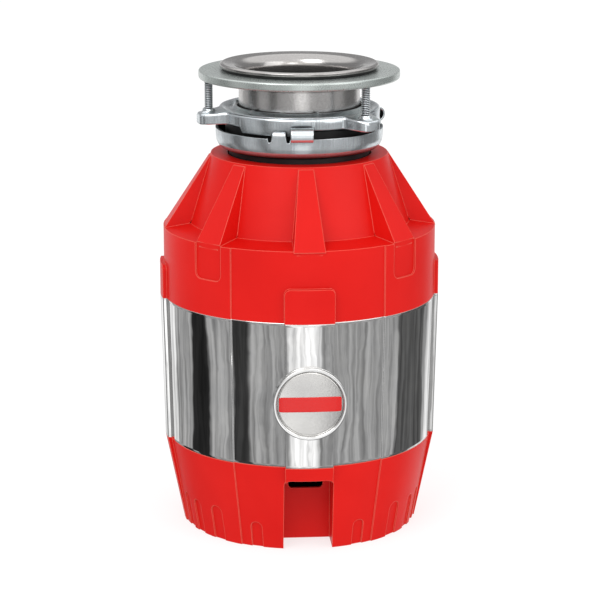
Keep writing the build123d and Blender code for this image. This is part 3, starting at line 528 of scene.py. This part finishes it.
def chrome_band():
    """Stepped radius carried up the band, returned inside at the sheet's thickness."""
    around = azimuths(step_edges + lug_edges, 1.5, 0.7, 13)
    edge = 0.25
    climb = np.concatenate([[0, edge, 2 * edge], np.linspace(2, band_top - band_low - 2, 30),
                            [band_top - band_low - 2 * edge, band_top - band_low - edge,
                             band_top - band_low]]) + band_low
    inset = np.concatenate([[edge, 0.3 * edge, 0], np.zeros(30), [0, 0.3 * edge, edge]])
    outside = stepped_radius(around[:, None], climb[None, :]) - inset
    inside = stepped_radius(around[:, None], climb[None, ::-1]) - band_sheet
    radius = np.concatenate([outside, inside], axis=1)
    height = np.concatenate([climb, climb[::-1]])[None, :]
    part = Part()
    part.ring(polar(radius, around[:, None], height))
    make(part, "band_skin", ["chrome_band"])


# ---- badge -----------------------------------------------------------------------------
badge_low, badge_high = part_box("badge")
badge_radius = (badge_high.x - badge_low.x) / 2 / MM
badge_height = (badge_high.z + badge_low.z) / 2 / MM
badge_front = -badge_low.y / MM


def badge_point(points):
    """Turns a piece made along +Z so that it faces the front at the badge's place."""
    return placed(points, (0, 0, badge_height), (1, 0, 0), (0, 0, 1), (0, -1, 0))


def badge():
    """Rim: an outline with a rolled lip, carried round the badge's axis and seated on the band."""
    around = np.arange(0, 360, 3.0)
    rim = 2.6
    within = badge_radius - rim
    outline = rounded([(within, badge_front - 1.2), (within, badge_front - 3),
                       (badge_radius, badge_front - 3), (badge_radius, badge_front - 0.2),
                       (badge_radius - 0.6, badge_front), (within + 0.6, badge_front)], 0.5)
    grid = lathe(outline, around)
    x = grid[..., 0] / MM
    z = -grid[..., 1] / MM + badge_height
    band_radius = 98.0
    azimuth = np.degrees(np.arcsin(np.clip(x / band_radius, -1, 1)))
    surface = stepped_radius(azimuth, z) * np.cos(np.radians(azimuth)) - 0.3
    back = np.abs(grid[..., 2] / MM - (badge_front - 3)) < 0.4
    grid[..., 2] = np.where(back, np.minimum(surface, badge_front - 3), grid[..., 2] / MM) * MM
    part = Part()
    part.ring(badge_point(grid * [1, -1, 1]))
    make(part, "badge_rim", ["badge"])


def badge_face():
    """Shallow dome: height falls with the square of the radius; its back is flat."""
    around = np.arange(0, 360, 3.0)
    edge = badge_radius - 2.7
    crown = badge_front - 0.45
    spread = np.linspace(1, 0.04, 18) * edge
    dome = crown - 1.0 * (spread / edge) ** 2
    radius = np.concatenate([[0.5, edge], spread])
    height = np.concatenate([[badge_front - 2.6, badge_front - 2.6], dome])
    grid = polar(radius[None, :], around[:, None], height[None, :]) * [1, -1, 1]
    part = Part()
    poles = badge_point(np.array([[0, 0, (badge_front - 2.6) * MM], [0, 0, crown * MM]]))
    part.spindle(badge_point(grid), *poles)
    make(part, "badge_dome", ["badge_face"])


def badge_bar():
    """Plain bar with round ends, laid just over the dome so that it follows its crown."""
    edge = badge_radius - 2.7
    crown = badge_front - 0.45
    half_length, half_width, thick = 22.0, 5.4, 0.22
    t = np.radians(np.arange(0, 360, 4.0) + 2.0)
    x = np.sign(np.cos(t)) * np.abs(np.cos(t)) ** 0.12 * half_length
    y = np.sign(np.sin(t)) * np.abs(np.sin(t)) ** 0.12 * half_width
    shrink = np.array([0.06, 1.0, 1.0, 0.985, 0.8, 0.5, 0.25, 0.06])
    lift = np.array([-0.3, -0.3, 0.7, 1.0, 1.0, 1.0, 1.0, 1.0]) * thick
    gx = x[:, None] * shrink[None, :]
    gy = y[:, None] * shrink[None, :]
    gz = crown - 1.0 * (gx ** 2 + gy ** 2) / edge ** 2 + lift[None, :]
    grid = np.stack([gx, gy, gz], axis=-1) * MM
    part = Part()
    poles = np.array([[0, 0, crown - 0.3 * thick], [0, 0, crown + thick]]) * MM
    part.spindle(badge_point(grid), *badge_point(poles))
    make(part, "badge_stripe", ["badge_bar"])


# ---- sink flange, gasket, backup flange ------------------------------------------------
def sink_flange():
    """Pressed dish and neck: one outline of constant sheet, carried round the axis."""
    around = np.arange(0, 360, 1.5)
    dish = rim_radius - 7.0
    throat = neck_radius - neck_sheet
    under = rounded([(throat, neck_bottom), (neck_radius, neck_bottom),
                     (neck_radius, backup_top - 1.4), (neck_radius + 1.2, backup_top + 0.2),
                     (dish, gasket_top + 0.15), (rim_radius - 1.4, gasket_top + 0.15),
                     (rim_radius - 1.2, gasket_top - 0.6), (rim_radius, gasket_top - 0.6),
                     (rim_radius, rim_top - 0.9), (rim_radius - 1.8, rim_top),
                     (dish, rim_top - 0.9)],
                    [0.3, 0.3, 1.2, 1.6, 2.0, 0.3, 0.3, 0.4, 0.6, 0.3, 0.3], 7, closed=False)
    roll = np.radians(np.linspace(80, 0, 12))
    funnel = np.stack([throat + 8.0 * (1 - np.cos(roll)),
                       rim_top - 9.3 + 8.4 * np.sin(roll)], axis=1)
    outline = np.concatenate([under, funnel])
    part = Part()
    part.ring(lathe(outline, around))
    make(part, "flange_pressing", ["sink_flange"])


def backup_flange():
    """Flat ring with well rounded edges."""
    outline = rounded([(neck_radius + 1.2, backup_low), (backup_radius, backup_low),
                       (backup_radius, backup_top), (neck_radius + 1.2, backup_top)],
                      [0.5, 1.7, 1.3, 0.5], 7)
    part = Part()
    part.ring(lathe(outline, np.arange(0, 360, 2.0)))
    make(part, "backup_plate", ["backup_flange"])


def sink_gasket():
    """Flat rubber ring with a slightly swollen edge."""
    inner = rim_radius - 6.6
    outer = rim_radius - 1.8
    outline = rounded([(inner, gasket_low), (outer, gasket_low), (outer + 0.3, gasket_low + 1.4),
                       (outer, gasket_top), (inner, gasket_top)], 0.5)
    part = Part()
    part.ring(lathe(outline, np.arange(0, 360, 2.0)))
    make(part, "gasket_ring", ["sink_gasket"])


# ---- mounting screws -------------------------------------------------------------------
def mounting_screw(number):
    """Threaded rod: radius is a rounded saw of height over pitch minus turn; round head below."""
    node = f"mounting_screw_{number}"
    low, high = low_high(node)
    azimuth = first_screw + turns[number - 1]
    pitch, depth, radius = 1.27, 0.75, 3.17
    around = np.arange(0, 360, 9.0)
    rows = np.linspace(low + 3.0, high - 0.6, 200)
    phase = rows[None, :] / pitch - around[:, None] / 360
    tooth = np.abs((phase % 1) - 0.5) * 2
    thread = radius - depth * smooth(0.12, 0.88, tooth)
    head_z = np.array([low, low, low + 0.5, low + 2.3, low + 2.9, low + 3.0])
    head_r = np.array([0.6, 4.7, 5.3, 5.35, 4.9, 3.2])
    tip_z = np.array([high - 0.2, high, high])
    tip_r = np.array([2.6, 2.2, 0.5])
    ones = np.ones((len(around), 1))
    r = np.concatenate([ones * head_r, thread, ones * tip_r], axis=1)
    z = np.concatenate([ones * head_z, ones * rows, ones * tip_z], axis=1)
    grid = polar(r, around[:, None], z)
    centre = polar(screw_circle, azimuth, 0.0)
    part = Part()
    poles = np.array([[0, 0, low], [0, 0, high]]) * MM + centre
    part.spindle(grid + centre, *poles)
    piece = make(part, f"clamp_screw_{number}", [node], f"{node}_body")
    # painted shade in the thread grooves, carried by the groove attribute
    cut = np.concatenate([0 * ones * head_r, smooth(0.2, 0.9, tooth), 0 * ones * tip_r], axis=1)
    groove = piece.data.attributes.new("groove", "FLOAT", "POINT")
    groove.data.foreach_set("value", np.append(cut.reshape(-1), [0, 0]).astype(np.float32))


# ---- upper mounting ring ---------------------------------------------------------------
plate_top = bowl_top + 13.0


def upper_ring():
    """Stamped ring: a collar, a valley, a shoulder and a skirt of changing depth.

    Each azimuth has its own outline; the skirt's radius swells to an ear at each screw,
    and its lower edge drops to a tab beside each hook.
    """
    edges = []
    for turned in turns:
        edges += [first_hook - 32 + turned, first_hook + 24 + turned]
    around = azimuths(edges, 1.0, 0.5, 7)[:, None]
    ear = np.zeros_like(around)
    tab = np.zeros_like(around)
    bump = np.zeros_like(around)
    for turned in turns:
        away = (around - first_screw - turned + 180) % 360 - 180
        flare = np.where(away < 0, 13.3, 17.0)      # short where a locked sleeve comes to rest
        ear = np.maximum(ear, 1 - smooth(4.0, flare, np.abs(away)))
        tab = np.maximum(tab, plateau(around, first_hook - 4 + turned, 27.6, 0.7))
        for offset in (11, 71):
            bump = np.maximum(bump, 1 - smooth(0.6, 2.4, np.abs((around - offset - turned + 180)
                                                                 % 360 - 180)))
    sheet = 1.7
    ring_edge = bowl_radius - 2.3
    edge = ring_edge + ear * 16.4
    skirt = np.where(tab > 0, bowl_top + 5.6 - tab * 5.0, bowl_top + 5.6 - ear * 1.0)
    inner = neck_radius + 0.75
    zero = 0 * around
    step = ear * 2.0
    shoulder = plate_top + 2.0
    outer_path = [
        (inner + zero, plate_top - 2 + zero), (inner + 0.2 + zero, plate_top + 1.8 + zero),
        (inner + 1.2 + zero, plate_top + 3 + bump * 0.3),
        (inner + 2.6 + zero, plate_top + 2.8 + bump * 1.3),
        (inner + 4.2 + zero, plate_top + 0.5 + bump * 2.4),
        (inner + 6.5 + zero, plate_top + bump * 0.8), (inner + 8.5 + zero, plate_top + 0.9 + zero),
        (ring_edge - 3.4 + zero, shoulder - 0.3 + zero), (ring_edge - 1.8 + zero, shoulder + zero),
        (ring_edge - 0.9 + ear * 3, shoulder - 0.3 - step * 0.6),
        (ring_edge - 0.3 + ear * 12.2, shoulder - 0.9 - step * 0.75),
        (edge - 1.1, shoulder - 1.0 - step),
        (edge - 0.35, shoulder - 1.7 - step), (edge, shoulder - 2.8 - step),
        (edge - tab * 0.3, (shoulder - 2.8 - step) * 0.5 + skirt * 0.5),
        (edge - tab * 1.7, skirt + 1.2), (edge - tab * 1.7, skirt + 0.25)]
    radius = np.concatenate([r for r, _ in outer_path], axis=1)
    height = np.concatenate([z for _, z in outer_path], axis=1)
    slope_r = np.gradient(radius, axis=1)
    slope_z = np.gradient(height, axis=1)
    length = np.hypot(slope_r, slope_z)
    inner_r = radius + sheet * slope_z / length
    inner_z = height - sheet * slope_r / length
    inner_z[:, -1] = height[:, -1] - 0.05
    inner_r[:, 0] = radius[:, 0] + 0.1
    inner_z[:, 0] = height[:, 0] - 0.1
    inner_r[:, 1] = radius[:, 1] + sheet
    inner_z[:, 1] = height[:, 0] - 0.1
    inner_z[:, 2] = np.minimum(inner_z[:, 2], height[:, 0])
    r = np.concatenate([radius, inner_r[:, ::-1]], axis=1)[:, ::-1]
    z = np.concatenate([height, inner_z[:, ::-1]], axis=1)[:, ::-1]
    part = Part()
    part.ring(polar(r, around, z))
    return part


def screw_bosses(part):
    """Extruded collar round each screw, over the ear."""
    for turned in turns:
        outline = rounded([(3.3, plate_top - 1.6), (6.4, plate_top - 1.6), (4.7, plate_top + 0.5),
                           (4.2, plate_top + 2.3), (3.3, plate_top + 2.3)], 0.6)
        grid = lathe(outline, np.arange(0, 360, 10.0))
        part.ring(grid + polar(screw_circle, first_screw + turned, 0.0))


# ---- lower mounting ring ---------------------------------------------------------------
hook_top = bowl_top + 5.2


def lower_ring():
    """Pressed bowl: inner edge, round bottom, wall; hooks stand up from its rim and fold in."""
    edges = [first_hook + turned + s * 4.8 for turned in turns for s in (-1, 1)]
    edges += [first_hook + turned + s * 7.4 for turned in turns for s in (-1, 1)]
    around = azimuths(edges, 1.5, 0.9, 9)[:, None]
    hook = np.zeros_like(around)
    notch = np.zeros_like(around)
    for turned in turns:
        hook = np.maximum(hook, plateau(around, first_hook + turned, 4.3, 0.9))
        for side in (-1, 1):
            notch = np.maximum(notch, plateau(around, first_hook + turned + side * 6.4, 0.7, 0.9))
    sheet = 1.8
    mouth = 51.6
    zero = 0 * around
    rim = bowl_top - notch * 2.6
    top = rim + hook * (hook_top - bowl_top - 0.6)
    path = [(mouth + zero, bowl_low + 0.1 + zero), (mouth + 1.4 + zero, bowl_low + zero),
            (bowl_radius - 6.0 + zero, bowl_low + 0.25 + zero),
            (bowl_radius - 3.6 + zero, bowl_low + 1.3 + zero),
            (bowl_radius - 1.8 + zero, bowl_low + 3.2 + zero),
            (bowl_radius - 0.7 + zero, bowl_low + 5.6 + zero),
            (bowl_radius - 0.15 + zero, bowl_low + 8.4 + zero),
            (bowl_radius + zero, bowl_low + 11.5 + zero),
            (bowl_radius + zero, rim - 0.8), (bowl_radius - hook * 0.1, (rim + top) / 2 - 0.3),
            (bowl_radius - hook * 0.5, top - 0.25 - hook * 0.6),
            (bowl_radius - hook * 1.5, top + hook * 0.3),
            (bowl_radius - hook * 3.4, top + hook * 0.5)]
    radius = np.concatenate([r for r, _ in path], axis=1)
    height = np.concatenate([z for _, z in path], axis=1)
    back_r = radius - sheet + np.array([0, 0, 0.1, 0.35, 0.25, 0.1, 0, 0, 0, 0, 0, 0, 0])
    back_z = height + np.array([1.8, 1.8, 1.8, 1.7, 1.1, 0.5, 0.1, 0, 0, 0, 0, 0, 0])
    back_r[:, :2] = radius[:, :2]
    back_r[:, -1:] = radius[:, -1:] - 0.1 - (1 - hook) * (sheet - 0.2)
    back_z[:, -1:] = height[:, -1:] - hook * 1.7 - 0.02
    back_r[:, -2:-1] = radius[:, -2:-1] - sheet
    back_z[:, -2:-1] = height[:, -2:-1] - hook * 1.7 - 0.02
    back_z[:, -3:-2] = height[:, -3:-2] - hook * 1.3
    r = np.concatenate([radius, back_r[:, ::-1]], axis=1)
    z = np.concatenate([height, back_z[:, ::-1]], axis=1)
    part = Part()
    part.ring(polar(r, around, z))
    make(part, "bowl_ring", ["lower_mounting_ring"], "mount_ring_body")


def wrench_sleeves():
    """Tubes rolled from the bowl's rim, each round an axis that lies along the rim."""
    centre_r = bowl_radius + 3.5
    centre_z = bowl_top + 3.7
    outer, bore, half = 5.25, 3.8, 7.9
    outline = rounded([(bore, -half), (outer, -half), (outer, half), (bore, half)], 0.5)
    around = np.radians(np.arange(0, 360, 8.0))
    radius, along = outline[None, :, 0], outline[None, :, 1] + 0 * around[:, None]
    part = Part()
    for turned in turns:
        a = math.radians(first_sleeve + turned)
        outward = np.array([math.sin(a), -math.cos(a), 0])
        across = np.array([math.cos(a), math.sin(a), 0])
        part.ring(((centre_r + radius * np.cos(around)[:, None])[..., None] * outward
                   + along[..., None] * across
                   + (centre_z + radius * np.sin(around)[:, None])[..., None]
                   * np.array([0, 0, 1])) * MM)
    make(part, "rolled_sleeves", ["wrench_sleeves"], "mount_ring_body")


# ---- rubber ----------------------------------------------------------------------------
def cushion():
    """Rubber mount: one outline with its groove, carried round the axis."""
    outer = 51.0
    outline = rounded([(45.0, cushion_low), (outer, cushion_low), (outer, bowl_low - 0.7),
                       (outer - 0.5, bowl_low - 0.5), (outer - 0.5, bowl_low + 4.9),
                       (outer + 2.4, bowl_low + 6.5), (outer + 2.4, cushion_top - 3),
                       (outer, cushion_top), (neck_radius + 0.3, cushion_top),
                       (neck_radius + 0.3, bowl_top + 1.3), (38.5, bowl_top + 1.3),
                       (38.5, bowl_top - 1.0), (45.0, bowl_top - 9.0)], 0.8)
    part = Part()
    part.ring(lathe(outline, np.arange(0, 360, 2.0)))
    make(part, "rubber_mount", ["cushion_mount"])


def splash_guard():
    """Slit baffle: a ring with eight flaps that sag to the middle, each a closed leaf."""
    outer = neck_radius - neck_sheet - 0.4
    ring = rounded([(outer - 2.5, guard_low), (outer, guard_low), (outer, guard_low + 9.4),
                    (outer - 1.6, guard_low + 9.4)], 0.5)
    part = Part()
    part.ring(lathe(ring, np.arange(0, 360, 3.0)))
    across = np.linspace(0, 1, 16)
    for flap in range(8):
        middle = flap * 45
        radius = outer - 1.5 - across * (outer - 13.0)
        half = 22.5 - 0.45 / np.radians(1) / radius
        sweep = np.linspace(-1, 1, 11)
        azimuth = middle + sweep[:, None] * half[None, :]
        sag = np.broadcast_to(guard_low + 2.6 - 0.9 * across ** 1.5, azimuth.shape)
        top = polar(radius[None, :], azimuth, sag)
        under = polar(radius[None, ::-1], azimuth[:, ::-1], sag[:, ::-1] - 1.5)
        part.arc(np.concatenate([top, under], axis=1)[:, ::-1])
    make(part, "splash_flaps", ["splash_guard"], "splash_guard_body")


# ---- studio ----------------------------------------------------------------------------
def studio():
    """White room for light, and a band of grey panels that only reflections see."""
    scene = bpy.context.scene
    scene.view_settings.view_transform = "Standard"
    world = bpy.data.worlds.new("studio")
    scene.world = world
    world.use_nodes = True
    tree = world.node_tree
    tree.nodes.clear()

    def node(kind, **settings):
        return new_node(tree, kind, **settings)

    def chain(operation, first, second=0.0):
        made = node("ShaderNodeMath", operation=operation)
        for place, value in enumerate((first, second)):
            if isinstance(value, float):
                made.inputs[place].default_value = value
            else:
                tree.links.new(value, made.inputs[place])
        return made.outputs[0]

    direction = node("ShaderNodeTexCoord").outputs["Generated"]
    parts = node("ShaderNodeSeparateXYZ")
    tree.links.new(direction, parts.inputs[0])

    def between(value, start, end):
        made = node("ShaderNodeMapRange", interpolation_type="SMOOTHSTEP")
        made.inputs["From Min"].default_value = start
        made.inputs["From Max"].default_value = end
        tree.links.new(value, made.inputs["Value"])
        return made.outputs["Result"]

    azimuth = chain("ARCTAN2", parts.outputs["X"], chain("MULTIPLY", parts.outputs["Y"], -1.0))
    low = between(parts.outputs["Z"], -0.315, -0.37)
    side = between(chain("ABSOLUTE", azimuth), 1.72, 1.95)
    swept = chain("MULTIPLY", chain("MULTIPLY", low, side), 0.42)
    stretched = node("ShaderNodeMapping")
    stretched.inputs["Scale"].default_value = (2.4, 2.4, 30.0)
    tree.links.new(direction, stretched.inputs["Vector"])
    ripple = node("ShaderNodeTexNoise", Scale=1.0, Detail=2.0)
    tree.links.new(stretched.outputs["Vector"], ripple.inputs["Vector"])
    drift = chain("MULTIPLY", chain("SUBTRACT", ripple.outputs["Fac"], 0.5), 0.03)
    turn = chain("ADD", chain("DIVIDE", chain("ADD", azimuth, swept), 2 * math.pi), 0.5)
    turn = chain("ADD", turn, drift)

    def blend(factor, first, second):
        made = node("ShaderNodeMix", data_type="RGBA")
        tree.links.new(factor, made.inputs["Factor"])
        for socket, value in (("A", first), ("B", second)):
            if isinstance(value, tuple):
                made.inputs[socket].default_value = value
            else:
                tree.links.new(value, made.inputs[socket])
        return made.outputs["Result"]

    # cards and flags stand round the object: middle and half width in degrees, and grey
    cards = ((-100, 8, 0.02), (-55, 6, 0.04), (0, 10, 1.0), (110, 20, 0.1), (-180, 40, 0.8),
             (180, 40, 0.8))
    soft = 4.0
    around = (0.35, 0.35, 0.35, 1)
    for middle, half, grey in cards:
        away = chain("ABSOLUTE", chain("SUBTRACT", chain("MULTIPLY", turn, 360.0), middle + 180.0))
        around = blend(between(away, half + soft, half), around, (grey, grey, grey, 1))
    lines = node("ShaderNodeCombineXYZ")
    tree.links.new(chain("MULTIPLY", turn, 75.0), lines.inputs["X"])
    tree.links.new(chain("MULTIPLY", parts.outputs["Z"], 14.0), lines.inputs["Y"])
    streak = node("ShaderNodeTexNoise", Scale=1.0, Detail=3.0, Roughness=0.6)
    tree.links.new(lines.outputs["Vector"], streak.inputs["Vector"])
    spread = node("ShaderNodeMapRange")
    for socket, value in (("From Min", 0.35), ("From Max", 0.65), ("To Min", 0.62),
                          ("To Max", 1.4)):
        spread.inputs[socket].default_value = value
    tree.links.new(streak.outputs["Fac"], spread.inputs["Value"])
    streaked = node("ShaderNodeMix", data_type="RGBA", blend_type="MULTIPLY")
    streaked.inputs["Factor"].default_value = 1.0
    tree.links.new(around, streaked.inputs["A"])
    tree.links.new(spread.outputs["Result"], streaked.inputs["B"])
    around = streaked.outputs["Result"]
    softbox = between(chain("ABSOLUTE", azimuth), 1.0, 0.45)
    wall = blend(softbox, (0.32, 0.32, 0.325, 1), (1.15, 1.13, 1.1, 1))
    upper = blend(between(parts.outputs["Z"], 0.04, 0.2), around, wall)
    upper = blend(between(parts.outputs["Z"], 0.42, 0.6), upper, (1.15, 1.15, 1.15, 1))
    below = chain("MULTIPLY", between(parts.outputs["Z"], -0.45, -0.62), 0.5)
    room = blend(below, upper, (0.05, 0.05, 0.05, 1))
    seen = node("ShaderNodeBackground", Strength=1.0)
    tree.links.new(room, seen.inputs["Color"])
    plain = node("ShaderNodeBackground", Color=(1, 1, 1, 1), Strength=1.0)
    path = node("ShaderNodeLightPath")
    choose = node("ShaderNodeMixShader")
    tree.links.new(path.outputs["Is Glossy Ray"], choose.inputs["Fac"])
    tree.links.new(plain.outputs[0], choose.inputs[1])
    tree.links.new(seen.outputs[0], choose.inputs[2])
    tree.links.new(choose.outputs[0], node("ShaderNodeOutputWorld").inputs["Surface"])


def floor():
    """Plain pale floor, left out of reflections."""
    mesh = bpy.data.meshes.new("floor")
    reach = 30.0
    mesh.from_pydata([(-reach, -reach, 0), (reach, -reach, 0), (reach, reach, 0),
                      (-reach, reach, 0)], [], [(0, 1, 2, 3)])
    piece = bpy.data.objects.new("floor", mesh)
    bpy.context.scene.collection.objects.link(piece)
    made = Finish("pale_floor", Roughness=0.9, Specular_IOR_Level=0.0, Emission_Strength=0.72,
                  Emission_Color=(1.0, 1.0, 1.0, 1.0))
    cloud = made.noise(made.coords, 1.5)
    made.colour(cloud, ((0.3, (0.30, 0.30, 0.30)), (0.7, (0.32, 0.32, 0.32))))
    mesh.materials.append(made.material)
    piece.location.z = cad_low.z - 0.0002
    piece.visible_glossy = False


def lamp(name, azimuth, height, distance, size, power, shine=1.0, target=0.17):
    """Soft square lamp that looks at a height on the object's axis."""
    data = bpy.data.lights.new(name, "AREA")
    data.shape = "SQUARE"
    data.size = size
    data.energy = power
    data.specular_factor = shine
    piece = bpy.data.objects.new(name, data)
    bpy.context.scene.collection.objects.link(piece)
    a = math.radians(azimuth)
    piece.location = (distance * math.sin(a), -distance * math.cos(a), height)
    look = Vector((0, 0, target)) - piece.location
    piece.rotation_euler = look.to_track_quat("-Z", "Y").to_euler()


def camera():
    """Long lens, a little to the left of the front, looking down on the object."""
    data = bpy.data.cameras.new("camera")
    data.sensor_width = 36.0
    data.lens = 140.14
    data.shift_x = 0.0013
    piece = bpy.data.objects.new("camera", data)
    bpy.context.scene.collection.objects.link(piece)
    turned = math.radians(4.3)
    distance, height = 1.6674, 0.57746
    piece.location = (-distance * math.sin(turned), -distance * math.cos(turned), height)
    piece.rotation_euler = (math.radians(90 - 13.958), 0, -turned)
    bpy.context.scene.camera = piece


camera()
studio()
floor()
lamp("key", -35, 1.7, 1.6, 1.2, 14.0, 0.45)
lamp("fill", 50, 1.0, 2.0, 1.4, 8.0, 0.2)
lamp("front_strip", 10, 0.74, 1.2, 0.3, 0.7, 0.4, 0.25)

chrome_band()
badge()
badge_face()
badge_bar()
sink_flange()
backup_flange()
sink_gasket()
for number in (1, 2, 3):
    mounting_screw(number)
ring = upper_ring()
screw_bosses(ring)
make(ring, "ear_ring", ["upper_mounting_ring"])
lower_ring()
wrench_sleeves()
cushion()
splash_guard()
